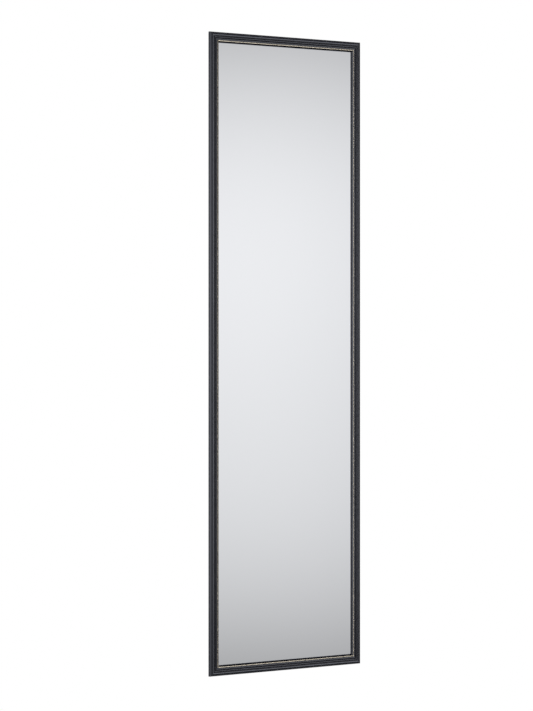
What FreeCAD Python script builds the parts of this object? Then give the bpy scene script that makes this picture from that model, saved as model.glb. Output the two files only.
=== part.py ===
"""Pull-out closet mirror: a tall framed mirror on a ball-bearing slide with a swivel.

The slide is screwed to the side of a closet, in the plane y = 0. The mirror lies in front of
it, facing -Y, pulls out towards -X and then swivels on a vertical pin at its leading edge.
The origin is the centre of the fixed rail's screw pattern. All sizes are in millimetres.
"""
import FreeCAD, Part
import math
import os
import re
import Sketcher

Vector = FreeCAD.Vector
Rotation = FreeCAD.Rotation

SIZES = {
    # Mirror panel. Widths in the moulding run inwards from its outer edge, levels run back
    # from the front of its main bead.
    "panel_width": 340,
    "panel_height": 1250,
    "panel_front": 47.5,
    "panel_shift": 14,
    "moulding_width": 20.6,
    "moulding_depth": 16,
    "side_depth": 8.7,
    "back_inset": 5.4,
    "shoulder_back": 4.4,
    "shoulder_round": 12,
    "shoulder_end": 2.1,
    "shoulder_end_level": 2.3,
    "quirk": 2.8,
    "quirk_level": 2.7,
    "bead_start": 3.4,
    "bead_middle": 6.8,
    "bead_end": 8,
    "bead_round": 4.2,
    "reed_middle": 10,
    "reed_half": 1.1,
    "reed_root": 1.5,
    "reed_round": 1.25,
    "wide_reed_middle": 14,
    "wide_reed_half": 1.5,
    "wide_reed_root": 1.6,
    "wide_reed_round": 1.75,
    "groove_drop": 0.8,
    "gilt_middle": 17,
    "gilt_half": 0.65,
    "gilt_seat": 1.9,
    "gilt_edge": 1.4,
    "gilt_round": 1.1,
    "lip_start": 1.5,
    "lip_end": 5.2,
    "rebate_level": 6.5,
    "rebate_edge": 13.6,
    # Glass, backing board and what holds them in the rebate.
    "glass_edge": 14,
    "glass_thick": 3,
    "board_thick": 5.5,
    "tab_wide": 8,
    "tab_long": 12,
    "tab_thick": 0.5,
    "tab_spacing": 260,
    "tab_in_end": 90,
    "wedge_leg": 4.6,
    "wedge_thick": 0.5,
    "wedge_deep": 9,
    "wedge_outer": 6.1,
    "wedge_inner": 8.7,
    # Ball-bearing slide. Depths run forward from the closet side, heights run up from the
    # slide's centre line, and each ball row lies at its own depth and height.
    "slide_depth": 12.7,
    "rail_length": 300,
    "moving_rail_length": 292,
    "gauge": 1.2,
    "outer_row_depth": 5.4,
    "outer_row_up": 19.9,
    "outer_ball": 1.7,
    "outer_race": 1.8,
    "inner_row_depth": 9.4,
    "inner_row_up": 15.45,
    "inner_ball": 1.45,
    "inner_race": 1.55,
    "outer_lift": 1.3,
    "inner_lift": 1.05,
    "bend_round": 1.8,
    "fixed_flange_depth": 9.5,
    "middle_web": 2.3,
    "middle_flange_depth": 11.1,
    "inner_flange_depth": 6.9,
    "bend_chamfer": 0.25,
    "cage_length": 132,
    "cage_gauge": 0.45,
    "cage_pocket_play": 0.05,
    "outer_cage_web": 1.55,
    "outer_cage_depth": 8.4,
    "inner_cage_web": 3.8,
    "inner_cage_depth": 11.1,
    "cage_window_half": 8,
    "cage_window_length": 104,
    "ball_pitch": 23,
    "balls_in_row": 6,
    "lug_long": 1.5,
    "lug_rise": 0.8,
    "lug_up": 10,
    "lug_tall": 3,
    "lug_inset": 1,
    "travel": 300,
    "screw_spacing": 224,
    "rail_screw_hole": 2.2,
    "access_hole": 4.5,
    "buffer_long": 7,
    "buffer_half": 15,
    "buffer_depth": 9,
    "buffer_peg": 2.4,
    # Swivel at the leading edge.
    "pivot_left": 160,
    "pivot_out": 26,
    "pin_round": 3,
    "pin_head": 5,
    "pin_head_tall": 2.5,
    "pin_below": 5.2,
    "pin_chamfer": 0.6,
    "clip_groove": 2.3,
    "clip_round": 5,
    "clip_thick": 0.8,
    "clip_below": 2.6,
    "clip_mouth_half": 1.85,
    "running_play": 0.05,
    "ear_inside": 61.5,
    "ear_thick": 2.5,
    "ear_round": 6.2,
    "bush_round": 4.2,
    "bush_flange": 5.9,
    "bush_flange_thick": 0.8,
    "washer_round": 6,
    "washer_thick": 0.8,
    "spring_rise": 0.7,
    "spring_thick": 0.5,
    "bracket_ahead": 2,
    "bracket_neck": 24,
    "bracket_reach": 100,
    "bracket_arm_half": 13,
    "bracket_round": 8,
    "bracket_tip_round": 3,
    "rivet_near": 18,
    "rivet_far": 82,
    "rivet_up": 7,
    "rivet_shank": 2,
    "rivet_head": 3.8,
    "rivet_head_tall": 1.4,
    "knuckle_round": 6.5,
    "leaf_thick": 2,
    "leaf_half": 90,
    "leaf_start": 10,
    "leaf_reach": 100,
    "leaf_round": 8,
    "leaf_window_near": 34,
    "leaf_window_far": 71,
    "leaf_window_half": 60,
    "leaf_screw_near": 20,
    "leaf_screw_far": 86,
    "leaf_screw_up": 78,
    "leaf_shank": 1.7,
    "leaf_hole": 1.9,
    "leaf_head": 3.5,
    "leaf_head_tall": 2,
    "leaf_screw_deep": 4.5,
    # Magnetic catch that parks the mirror flat.
    "catch_right": 60,
    "catch_base_half": 20,
    "catch_base_up": 10,
    "catch_base_thick": 3,
    "catch_post": 9,
    "catch_length": 18,
    "catch_peg": 2.4,
    "magnet_round": 6,
    "magnet_thick": 4,
    "strike_half": 18,
    "strike_up": 10,
    "strike_thick": 1.5,
}

WORD = re.compile(r"[a-z]+(?:_[a-z]+)*")
FACING_FRONT = Rotation(Vector(1, 0, 0), 90)
FACING_BACK = Rotation(Vector(1, 0, 0), -90)

doc = FreeCAD.newDocument("PullOutMirror")
sheet = doc.addObject("Spreadsheet::Sheet", "Sizes")
sub_parts = []


# ---- Sheet, sketches and features ----------------------------------------------------------


def fill_sheet():
    """Write every driving dimension into the sheet: its words in column A, its value in B."""
    for row, (alias, value) in enumerate(SIZES.items(), start=1):
        sheet.set(f"A{row}", alias.replace("_", " "))
        sheet.set(f"B{row}", str(value))
        sheet.setAlias(f"B{row}", alias)
    doc.recompute()


def bound(formula):
    """A formula in the sheet's aliases as an expression of the document."""
    return WORD.sub(lambda word: word[0] if word[0] == "sqrt" else f"Sizes.{word[0]}", str(formula))


def number(formula):
    """The present value of a formula in the sheet's aliases."""
    return float(sheet.evalExpression(bound(formula)))


def new_body(label, place=(0, 0, 0), turn=Rotation()):
    """A PartDesign body that is one sub-part, at a place given by three formulas."""
    body = doc.addObject("PartDesign::Body", label)
    body.Label = label
    set_place(body, place, turn)
    sub_parts.append(body)
    return body


def set_place(thing, place, turn=Rotation()):
    thing.Placement = FreeCAD.Placement(Vector(*map(number, place)), turn)
    for axis, formula in zip("xyz", place):
        thing.setExpression(f"Placement.Base.{axis}", bound(formula))


def new_sketch(body, name, plane, offset=0):
    """A sketch on one of the body's own origin planes, moved along the plane's normal."""
    sketch = body.newObject("Sketcher::SketchObject", name)
    support = next(part for part in body.Origin.OriginFeatures if part.Role == plane)
    sketch.AttachmentSupport = (support, "")
    sketch.MapMode = "FlatFace"
    sketch.setExpression("AttachmentOffset.Base.z", bound(offset))
    return sketch


def bind_point(sketch, element, end, point):
    """Hold a point of a sketch at two formulas from the sketch's origin."""
    for kind, formula in zip(("DistanceX", "DistanceY"), point):
        rule = Sketcher.Constraint(kind, -1, 1, element, end, number(formula))
        index = sketch.addConstraint(rule)
        sketch.setExpression(f"Constraints[{index}]", bound(formula))


def bind_radius(sketch, element, formula):
    index = sketch.addConstraint(Sketcher.Constraint("Radius", element, number(formula)))
    sketch.setExpression(f"Constraints[{index}]", bound(formula))


def arc_between(start, end, radius, turn):
    """The shorter arc from start to end: turn 1 runs anticlockwise and -1 clockwise."""
    chord = end - start
    reach = max(radius**2 - chord.Length**2 / 4, 0) ** 0.5
    side = Vector(-chord.y, chord.x, 0).normalize()
    centre = (start + end) * 0.5 + side * reach * turn
    begin, finish = (start, end) if turn > 0 else (end, start)
    angles = [Vector(1, 0, 0).getAngle(point - centre) for point in (begin, finish)]
    angles = [-angle if point.y < centre.y else angle for angle, point in zip(angles, (begin, finish))]
    return Part.ArcOfCircle(Part.Circle(centre, Vector(0, 0, 1), radius), *angles)


def add_outline(sketch, corners):
    """Draw a closed outline and bind each corner.

    A corner is (x, y), reached by a straight side, or (x, y, radius, turn), reached by an arc.
    """
    points = [Vector(number(corner[0]), number(corner[1]), 0) for corner in corners]
    ends = []
    for corner, start, end in zip(corners, [points[-1]] + points[:-1], points):
        if len(corner) == 2:
            element = sketch.addGeometry(Part.LineSegment(start, end))
            ends.append((element, 1, 2))
            continue
        element = sketch.addGeometry(arc_between(start, end, number(corner[2]), corner[3]))
        ends.append((element, 1, 2) if corner[3] > 0 else (element, 2, 1))
    for (element, _, last), (following, first, _) in zip(ends, ends[1:] + ends[:1]):
        sketch.addConstraint(Sketcher.Constraint("Coincident", element, last, following, first))
    for corner, (element, _, last) in zip(corners, ends):
        bind_point(sketch, element, last, corner)
        if len(corner) > 2:
            bind_radius(sketch, element, corner[2])


def add_circle(sketch, middle, radius):
    centre = Vector(number(middle[0]), number(middle[1]), 0)
    circle = Part.Circle(centre, Vector(0, 0, 1), number(radius))
    element = sketch.addGeometry(circle)
    bind_point(sketch, element, 3, middle)
    bind_radius(sketch, element, radius)


def add_rectangle(sketch, left, right, low, high):
    add_outline(sketch, [(left, low), (right, low), (right, high), (left, high)])


def pad(body, sketch, length, symmetric=False, reverse=False):
    feature = body.newObject("PartDesign::Pad", f"{sketch.Name}_pad")
    feature.Profile = sketch
    feature.setExpression("Length", bound(length))
    feature.SideType = "Symmetric" if symmetric else "One side"
    feature.Reversed = reverse
    sketch.Visibility = False
    return feature


def cut_through(body, sketch):
    """Cut the sketch's outlines through everything, both ways."""
    feature = body.newObject("PartDesign::Pocket", f"{sketch.Name}_cut")
    feature.Profile = sketch
    feature.Type = "ThroughAll"
    feature.SideType = "Symmetric"
    return feature


def revolve(body, corners):
    """Turn an outline of (radius, height) corners about the body's vertical axis."""
    sketch = new_sketch(body, "section", "XZ_Plane")
    add_outline(sketch, corners)
    feature = body.newObject("PartDesign::Revolution", "turned")
    feature.Profile = sketch
    feature.ReferenceAxis = (sketch, ["V_Axis"])
    feature.Angle = 360
    return feature


def mirror_down(body, features):
    """Repeat features below the body's XY plane."""
    feature = body.newObject("PartDesign::Mirrored", "mirrored")
    feature.Originals = features
    plane = next(part for part in body.Origin.OriginFeatures if part.Role == "XY_Plane")
    feature.MirrorPlane = (plane, [""])
    body.Tip = feature
    return feature


def primitive(kind, sizes, place, turn=Rotation()):
    """A Part primitive whose sizes and place are formulas."""
    shape = doc.addObject(f"Part::{kind}", kind)
    for name, formula in sizes.items():
        shape.setExpression(name, bound(formula))
    set_place(shape, place, turn)
    return shape


def box(centre, size):
    """A box about a centre, both given by three formulas."""
    low = [f"{middle} - ({side}) / 2" for middle, side in zip(centre, size)]
    return primitive("Box", dict(zip(("Length", "Width", "Height"), size)), low)


def combine(kind, name, **links):
    shape = doc.addObject(f"Part::{kind}", name)
    for link, value in links.items():
        setattr(shape, link, value)
    return shape


def group(label, shapes):
    """One sub-part made of several separate solids."""
    whole = combine("Compound", label, Links=shapes)
    whole.Label = label
    sub_parts.append(whole)
    return whole


def named(label, shape):
    shape.Label = label
    sub_parts.append(shape)
    return shape


def headed(place, turn, head, head_tall, shank, length, sides=None):
    """A round head that stands up the local Z axis, with its shank below it.

    The shank is round, or a prism of as many sides where it is out of sight.
    """
    cap = primitive("Cylinder", {"Radius": head, "Height": head_tall}, place, turn)
    sizes = {"Circumradius": shank, "Height": length} if sides else {"Radius": shank, "Height": length}
    stem = primitive("Prism" if sides else "Cylinder", sizes, place, turn)
    if sides:
        stem.Polygon = sides
    over = Rotation(Vector(1, 0, 0), 180)
    stem.Placement = stem.Placement.multiply(FreeCAD.Placement(Vector(), over))
    return combine("Fuse", "fastener", Base=cap, Tool=stem)


def half_chord(radius, lift):
    """Half the width of a circle at a distance from its centre."""
    return f"sqrt(({radius}) * ({radius}) - ({lift}) * ({lift}))"


# ---- Mirror panel --------------------------------------------------------------------------


def bead_level(width):
    """How far the main bead's surface lies behind its crest, at a width in the moulding."""
    return f"bead_round - {half_chord('bead_round', f'bead_middle - {width}')}"


MOULDING_SECTION = [
    ("side_depth", "0"),
    ("shoulder_back", "0"),
    ("shoulder_end_level", "-shoulder_end", "shoulder_round", 1),
    ("quirk_level", "-quirk"),
    (bead_level("bead_start"), "-bead_start"),
    (bead_level("bead_end"), "-bead_end", "bead_round", 1),
    ("reed_root + groove_drop", "-(bead_end + reed_middle - reed_half) / 2"),
    ("reed_root", "-(reed_middle - reed_half)"),
    ("reed_root", "-(reed_middle + reed_half)", "reed_round", 1),
    ("wide_reed_root + groove_drop", "-(reed_middle + reed_half + wide_reed_middle - wide_reed_half) / 2"),
    ("wide_reed_root", "-(wide_reed_middle - wide_reed_half)"),
    ("wide_reed_root", "-(wide_reed_middle + wide_reed_half)", "wide_reed_round", 1),
    ("gilt_edge + groove_drop / 4", "-(gilt_middle - gilt_half)"),
    ("gilt_seat", "-(gilt_middle - gilt_half)"),
    ("gilt_seat", "-(gilt_middle + gilt_half)"),
    ("lip_start", "-(gilt_middle + gilt_half)"),
    ("lip_end", "-moulding_width"),
    ("rebate_level", "-moulding_width"),
    ("rebate_level", "-rebate_edge"),
    ("moulding_depth", "-rebate_edge"),
    ("moulding_depth", "-back_inset"),
]

GILT_SECTION = [
    ("gilt_seat", "-(gilt_middle - gilt_half)"),
    ("gilt_edge", "-(gilt_middle - gilt_half)"),
    ("gilt_edge", "-(gilt_middle + gilt_half)", "gilt_round", 1),
    ("gilt_seat", "-(gilt_middle + gilt_half)"),
]

# Each side of the frame: its length, how far it is turned from the top, and its outer edge.
FRAME_SIDES = {
    "top": ("panel_width", 0, "-panel_shift", "panel_height / 2"),
    "right": ("panel_height", 90, "panel_width / 2 - panel_shift", "0"),
    "bottom": ("panel_width", 180, "-panel_shift", "-panel_height / 2"),
    "left": ("panel_height", 270, "-panel_width / 2 - panel_shift", "0"),
}


def frame_stick(label, section, side):
    """One mitred stick of the frame, its outer edge along the local X axis, its face to -Y."""
    length, turn, across, up = FRAME_SIDES[side]
    place = (across, "-panel_front", up)
    stick = new_body(label, place, Rotation(Vector(0, 1, 0), turn))
    profile = new_sketch(stick, "profile", "YZ_Plane")
    add_outline(profile, section)
    pad(stick, profile, length, symmetric=True)
    mitres = new_sketch(stick, "mitres", "XZ_Plane")
    spare = "moulding_width"
    for way in ("", "-"):
        tip = f"{way}(({length}) / 2 + {spare})"
        heel = f"{way}(({length}) / 2 - 2 * {spare})"
        add_outline(mitres, [(tip, spare), (tip, f"-2 * {spare}"), (heel, f"-2 * {spare}")])
    cut_through(stick, mitres)


def mirror_glass():
    sheet_of_glass = box(
        ("-panel_shift", "rebate_level + glass_thick / 2 - panel_front", "0"),
        ("panel_width - 2 * glass_edge", "glass_thick", "panel_height - 2 * glass_edge"),
    )
    named("mirror_glass", sheet_of_glass)


def backing_board():
    board = box(
        ("-panel_shift", "rebate_level + glass_thick + board_thick / 2 - panel_front", "0"),
        ("panel_width - 2 * glass_edge", "board_thick", "panel_height - 2 * glass_edge"),
    )
    named("backing_board", board)


BOARD_BACK = "rebate_level + glass_thick + board_thick - panel_front"


def glazing_tabs():
    """Steel tabs driven into the rebate over the board's back."""
    level = f"{BOARD_BACK} + tab_thick / 2"
    tabs = []
    for way in ("-", ""):
        across = f"{way}(panel_width / 2 - rebate_edge) - panel_shift"
        for step in (-2, -1, 0, 1, 2):
            size = ("tab_long", "tab_thick", "tab_wide")
            tabs.append(box((across, level, f"{step} * tab_spacing"), size))
        up = f"{way}(panel_height / 2 - rebate_edge)"
        for side in ("-", ""):
            size = ("tab_wide", "tab_thick", "tab_long")
            tabs.append(box((f"{side}tab_in_end - panel_shift", level, up), size))
    group("glazing_tabs", tabs)


def corner_wedges():
    """Bent steel wedges driven across the mitres from the back, two at each corner."""
    level = "moulding_depth - wedge_deep / 2 - panel_front"
    wedges = []
    for left in ("-", ""):
        for low in ("-", ""):
            for apex in ("wedge_outer", "wedge_inner"):
                far = f"({apex} + wedge_leg / 2)"
                near = f"({apex} + wedge_thick / 2)"
                legs = []
                for inward, down, size in (
                    (far, near, ("wedge_leg", "wedge_deep", "wedge_thick")),
                    (near, far, ("wedge_thick", "wedge_deep", "wedge_leg")),
                ):
                    across = f"{left}(panel_width / 2 - {inward}) - panel_shift"
                    legs.append(box((across, level, f"{low}(panel_height / 2 - {down})"), size))
                wedges.append(combine("Fuse", "wedge", Base=legs[0], Tool=legs[1]))
    group("corner_wedges", wedges)


# ---- Ball-bearing slide --------------------------------------------------------------------


def whole_section(upper):
    """Complete a section from its upper half: (depth, height) corners from web back to front."""
    corners = [(f"-({depth})", height, *rest) for depth, height, *rest in upper]
    lower = []
    for index in range(len(upper) - 1, -1, -1):
        depth, height = upper[index][:2]
        arc = upper[index + 1][2:] if index + 1 < len(upper) else ()
        lower.append((f"-({depth})", f"-({height})", *arc))
    return corners + lower


OUTER_CHORD = half_chord("outer_race", "outer_lift")
OUTER_SKIN = half_chord("outer_race + gauge", "outer_lift + gauge")
INNER_CHORD = half_chord("inner_race", "inner_lift")
INNER_SKIN = half_chord("inner_race + gauge", "inner_lift + gauge")

FIXED_FLANGE = "outer_row_up + outer_lift"
FIXED_HALF = [
    ("0", f"{FIXED_FLANGE} + gauge - bend_round"),
    ("bend_round", f"{FIXED_FLANGE} + gauge", "bend_round", 1),
    (f"outer_row_depth - {OUTER_SKIN}", f"{FIXED_FLANGE} + gauge"),
    (f"outer_row_depth + {OUTER_SKIN}", f"{FIXED_FLANGE} + gauge", "outer_race + gauge", 1),
    ("fixed_flange_depth", f"{FIXED_FLANGE} + gauge"),
    ("fixed_flange_depth", FIXED_FLANGE),
    (f"outer_row_depth + {OUTER_CHORD}", FIXED_FLANGE),
    (f"outer_row_depth - {OUTER_CHORD}", FIXED_FLANGE, "outer_race", -1),
    ("bend_round", FIXED_FLANGE),
    ("gauge", f"{FIXED_FLANGE} - bend_round + gauge", "bend_round - gauge", -1),
]

VALLEY = "outer_row_up - outer_lift"
CREST = "inner_row_up + inner_lift"
MIDDLE_HALF = [
    ("middle_web", f"{VALLEY} - bend_round / 2"),
    ("middle_web + bend_round / 2", VALLEY, "bend_round / 2", 1),
    (f"outer_row_depth - {OUTER_CHORD}", VALLEY),
    (f"outer_row_depth + {OUTER_CHORD}", VALLEY, "outer_race", -1),
    (f"inner_row_depth - {INNER_SKIN}", f"{CREST} + gauge"),
    (f"inner_row_depth + {INNER_SKIN}", f"{CREST} + gauge", "inner_race + gauge", 1),
    ("middle_flange_depth", f"{CREST} + gauge"),
    ("middle_flange_depth", CREST),
    (f"inner_row_depth + {INNER_CHORD}", CREST),
    (f"inner_row_depth - {INNER_CHORD}", CREST, "inner_race", -1),
    (f"outer_row_depth + {OUTER_SKIN}", f"{VALLEY} - gauge"),
    (f"outer_row_depth - {OUTER_SKIN}", f"{VALLEY} - gauge", "outer_race + gauge", 1),
    ("middle_web + gauge", f"{VALLEY} - gauge - bend_chamfer"),
]

INNER_FLANGE = "inner_row_up - inner_lift"
INNER_HALF = [
    ("slide_depth - gauge", f"{INNER_FLANGE} - gauge - 2 * bend_chamfer"),
    (f"inner_row_depth + {INNER_SKIN}", f"{INNER_FLANGE} - gauge"),
    (f"inner_row_depth - {INNER_SKIN}", f"{INNER_FLANGE} - gauge", "inner_race + gauge", 1),
    ("inner_flange_depth", f"{INNER_FLANGE} - gauge"),
    ("inner_flange_depth", INNER_FLANGE),
    (f"inner_row_depth - {INNER_CHORD}", INNER_FLANGE),
    (f"inner_row_depth + {INNER_CHORD}", INNER_FLANGE, "inner_race", -1),
    ("slide_depth - bend_round", INNER_FLANGE),
    ("slide_depth", f"{INNER_FLANGE} - bend_round", "bend_round", 1),
]

MOVING_RAIL_SHIFT = "(moving_rail_length - rail_length) / 2"

# Rivets that join the swivel bracket to the inner rail, as (along, up) from the pivot.
RIVETS = [("rivet_near", "-rivet_up"), ("rivet_near", "rivet_up"), ("rivet_far", "0")]


def rail(label, half_section, length, shift):
    """A rolled rail along X, its web facing the closet side."""
    bar = new_body(label, (shift, "0", "0"))
    profile = new_sketch(bar, "profile", "YZ_Plane")
    add_outline(profile, whole_section(half_section))
    pad(bar, profile, length, symmetric=True)
    return bar


def add_lugs(bar, name, end, back, front):
    """Two small stops pressed out of a web, at one end of the bar, between two depths."""
    lugs = new_sketch(bar, name, "YZ_Plane", end)
    for low, high in (("lug_up", "lug_up + lug_tall"), ("-(lug_up + lug_tall)", "-lug_up")):
        add_rectangle(lugs, f"-({front})", f"-({back})", low, high)
    pad(bar, lugs, "lug_long")


def drill(bar, holes):
    """Round holes through a web, each (along, up, radius)."""
    drilled = new_sketch(bar, "holes", "XZ_Plane")
    for along, up, radius in holes:
        add_circle(drilled, (along, up), radius)
    cut_through(bar, drilled)


def fixed_rail():
    bar = rail("fixed_rail", FIXED_HALF, "rail_length", "0")
    add_lugs(bar, "cage_stops", "lug_inset - rail_length / 2", "gauge / 2", "gauge + lug_rise")
    holes = [(f"{way}screw_spacing / 2", "0", "rail_screw_hole") for way in ("-", "")]
    holes.append(("(rail_length - buffer_long) / 2", "0", "buffer_peg"))
    drill(bar, holes)


def middle_rail():
    bar = rail("middle_rail", MIDDLE_HALF, "moving_rail_length", MOVING_RAIL_SHIFT)
    front_end = "lug_inset - moving_rail_length / 2"
    rear_end = "moving_rail_length / 2 - lug_long - lug_inset"
    web_middle = "middle_web + gauge / 2"
    add_lugs(bar, "inner_cage_stops", front_end, web_middle, "middle_web + gauge + lug_rise")
    add_lugs(bar, "outer_cage_stops", rear_end, "middle_web - lug_rise", web_middle)
    front_screw = f"travel / 2 - screw_spacing / 2 - {MOVING_RAIL_SHIFT}"
    drill(bar, [(front_screw, "0", "access_hole")])


def inner_rail():
    bar = rail("inner_rail", INNER_HALF, "moving_rail_length", MOVING_RAIL_SHIFT)
    holes = []
    for along, up in RIVETS:
        holes.append((f"{along} - pivot_left - {MOVING_RAIL_SHIFT}", up, "rivet_shank"))
    holes.append((f"catch_right - {MOVING_RAIL_SHIFT}", "0", "catch_peg"))
    drill(bar, holes)


def ball_cage(label, web, reach, row_depth, row_up, ball):
    """A folded strip that keeps two rows of balls apart, with a window in its web."""
    cage = new_body(label, (MOVING_RAIL_SHIFT, "0", "0"))
    outside = f"{row_up} + cage_gauge / 2"
    inside = f"{row_up} - cage_gauge / 2"
    upper = [(web, outside), (reach, outside), (reach, inside), (f"{web} + cage_gauge", inside)]
    profile = new_sketch(cage, "profile", "YZ_Plane")
    add_outline(profile, whole_section(upper))
    pad(cage, profile, "cage_length", symmetric=True)
    window = new_sketch(cage, "window", "XZ_Plane")
    half = "cage_window_length / 2"
    add_rectangle(window, f"-{half}", half, "-cage_window_half", "cage_window_half")
    cut_through(cage, window)
    pocket = new_sketch(cage, "pocket", "XY_Plane")
    first = "-(balls_in_row - 1) / 2 * ball_pitch"
    side = f"({ball} + cage_pocket_play)"
    add_rectangle(
        pocket, f"{first} - {side}", f"{first} + {side}", f"-{row_depth} - {side}", f"{side} - {row_depth}"
    )
    seats = cut_through(cage, pocket)
    row = cage.newObject("PartDesign::LinearPattern", "row")
    row.Originals = [seats]
    along = next(part for part in cage.Origin.OriginFeatures if part.Role == "X_Axis")
    row.Direction = (along, [""])
    row.setExpression("Length", bound("(balls_in_row - 1) * ball_pitch"))
    row.setExpression("Occurrences", bound("balls_in_row"))
    cage.Tip = row


def ball_shape(radius):
    """A bearing ball in few flat faces: rings of six corners, all on the ball's surface."""
    rings = []
    for latitude in (-60, -20, 20, 60):
        height = radius * math.sin(math.radians(latitude))
        reach = radius * math.cos(math.radians(latitude))
        turns = [math.radians(60 * step) for step in range(6)]
        rings.append([Vector(reach * math.cos(turn), reach * math.sin(turn), height) for turn in turns])
    faces = [rings[0], rings[-1]]
    for low, high in zip(rings, rings[1:]):
        for corner in range(6):
            before = corner - 1
            faces.append([low[before], low[corner], high[corner], high[before]])
    sides = [Part.Face(Part.makePolygon(face + face[:1])) for face in faces]
    return Part.makeSolid(Part.makeShell(sides))


def balls(label, row_depth, row_up, ball):
    """Two rows of balls, one above and one below the slide's centre line."""
    rows = []
    count = SIZES["balls_in_row"]
    for up in (number(f"-{row_up}"), number(row_up)):
        for index in range(count):
            along = number(f"({index} - (balls_in_row - 1) / 2) * ball_pitch")
            one = ball_shape(number(ball))
            one.translate(Vector(along, 0, up))
            rows.append(one)
    feature = doc.addObject("Part::Feature", label)
    feature.Shape = Part.makeCompound(rows)
    set_place(feature, (MOVING_RAIL_SHIFT, f"-{row_depth}", "0"))
    named(label, feature)


def rear_buffer():
    """Plastic block that stops the moving rails, held by a peg in the fixed rail's web."""
    along = "(rail_length - buffer_long) / 2"
    block = box(
        (along, "-(gauge + buffer_depth) / 2", "0"),
        ("buffer_long", "buffer_depth - gauge", "2 * buffer_half"),
    )
    peg_sizes = {"Radius": "buffer_peg", "Height": "2 * gauge"}
    peg = primitive("Cylinder", peg_sizes, (along, "0", "0"), FACING_FRONT)
    named("rear_buffer", combine("Fuse", "rear_buffer", Base=block, Tool=peg))


# ---- Swivel --------------------------------------------------------------------------------

PIVOT = ("-pivot_left", "-pivot_out", "0")


def swivel_bracket():
    """Pressed steel bracket: an arm along the inner rail and two ears for the pin."""
    bracket = new_body("swivel_bracket", ("-pivot_left", "-slide_depth", "0"))
    top = "ear_inside + ear_thick"
    arm = "bracket_arm_half"
    sweep = "bracket_round"
    corner = "bracket_tip_round"
    half = [
        (f"bracket_reach - {corner}", arm, None),
        (f"bracket_neck + {sweep}", arm, None),
        ("bracket_neck", f"{arm} + {sweep}", (sweep, -1)),
        ("bracket_neck", f"{top} - {sweep}", None),
        (f"bracket_neck - {sweep}", top, (sweep, 1)),
        ("-bracket_ahead", top, None),
    ]
    upper = [(across, up, *(arc or ())) for across, up, arc in half]
    lower = []
    for index in range(len(half) - 1, -1, -1):
        arc = half[index + 1][2] if index + 1 < len(half) else None
        lower.append((half[index][0], f"-({half[index][1]})", *(arc or ())))
    plate = new_sketch(bracket, "plate", "XZ_Plane")
    tip = [("bracket_reach", f"{corner} - {arm}", corner, 1), ("bracket_reach", f"{arm} - {corner}")]
    add_outline(plate, [(*upper[0], corner, 1)] + upper[1:] + lower + tip)
    pad(bracket, plate, "ear_thick")
    ear = new_sketch(bracket, "ear", "XY_Plane", "ear_inside")
    eye = "slide_depth - pivot_out"
    corners = [
        ("-bracket_ahead", "0"),
        ("-ear_round", eye),
        ("0", f"{eye} - ear_round", "ear_round", 1),
        ("ear_round", eye, "ear_round", 1),
        ("bracket_neck - bracket_round", "-ear_thick"),
        ("bracket_neck - bracket_round", "0"),
    ]
    add_outline(ear, corners)
    upper_ear = pad(bracket, ear, "ear_thick")
    mirror_down(bracket, [upper_ear])
    eyes = new_sketch(bracket, "eyes", "XY_Plane")
    add_circle(eyes, ("0", eye), "bush_round")
    cut_through(bracket, eyes)
    drill(bracket, [(along, up, "rivet_shank") for along, up in RIVETS])


def bracket_rivets():
    """Rivets through the bracket's arm and the inner rail's web."""
    rivets = []
    for along, up in RIVETS:
        place = (f"{along} - pivot_left", "-slide_depth - ear_thick", up)
        sizes = ("rivet_head", "rivet_head_tall", "rivet_shank", "ear_thick + gauge")
        rivets.append(headed(place, FACING_FRONT, *sizes))
    group("bracket_rivets", rivets)


def pivot_bush(label, turn):
    """Flanged bush in one ear, its flange against the knuckle."""
    bush = new_body(label, PIVOT, Rotation(Vector(1, 0, 0), turn))
    bore = "pin_round + running_play"
    flange = "ear_inside - bush_flange_thick"
    corners = [
        (bore, flange),
        ("bush_flange", flange),
        ("bush_flange", "ear_inside"),
        ("bush_round", "ear_inside"),
        ("bush_round", "ear_inside + ear_thick"),
        (bore, "ear_inside + ear_thick"),
    ]
    revolve(bush, corners)


def hinge_leaf():
    """Steel leaf on the back of the mirror with a long knuckle for the pin."""
    leaf = new_body("hinge_leaf", PIVOT)
    plate = new_sketch(leaf, "plate", "XZ_Plane", "knuckle_round - leaf_thick")
    knuckle = "(ear_inside - bush_flange_thick - running_play)"
    start = "leaf_start"
    far = "leaf_reach"
    corners = [
        ("0", f"-{knuckle}"),
        (start, f"-{knuckle}"),
        (start, "-leaf_half"),
        (f"{far} - leaf_round", "-leaf_half"),
        (far, "-leaf_half + leaf_round", "leaf_round", 1),
        (far, "leaf_half - leaf_round"),
        (f"{far} - leaf_round", "leaf_half", "leaf_round", 1),
        (start, "leaf_half"),
        (start, knuckle),
        ("0", knuckle),
    ]
    add_outline(plate, corners)
    pad(leaf, plate, "leaf_thick")
    tube = new_sketch(leaf, "tube", "XY_Plane")
    add_circle(tube, ("0", "0"), "knuckle_round")
    pad(leaf, tube, f"2 * {knuckle}", symmetric=True)
    bore = new_sketch(leaf, "bore", "XY_Plane")
    add_circle(bore, ("0", "0"), "pin_round")
    cut_through(leaf, bore)
    window = new_sketch(leaf, "window", "XZ_Plane")
    sides = ("leaf_window_near", "leaf_window_far", "-leaf_window_half", "leaf_window_half")
    add_rectangle(window, *sides)
    cut_through(leaf, window)
    drill(leaf, [(along, up, "leaf_hole") for along, up in leaf_screw_spots()])


def leaf_screw_spots():
    """Leaf screws as (along, up) from the pivot."""
    for along in ("leaf_screw_near", "leaf_screw_far"):
        for up in ("-leaf_screw_up", "leaf_screw_up"):
            yield along, up


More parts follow.
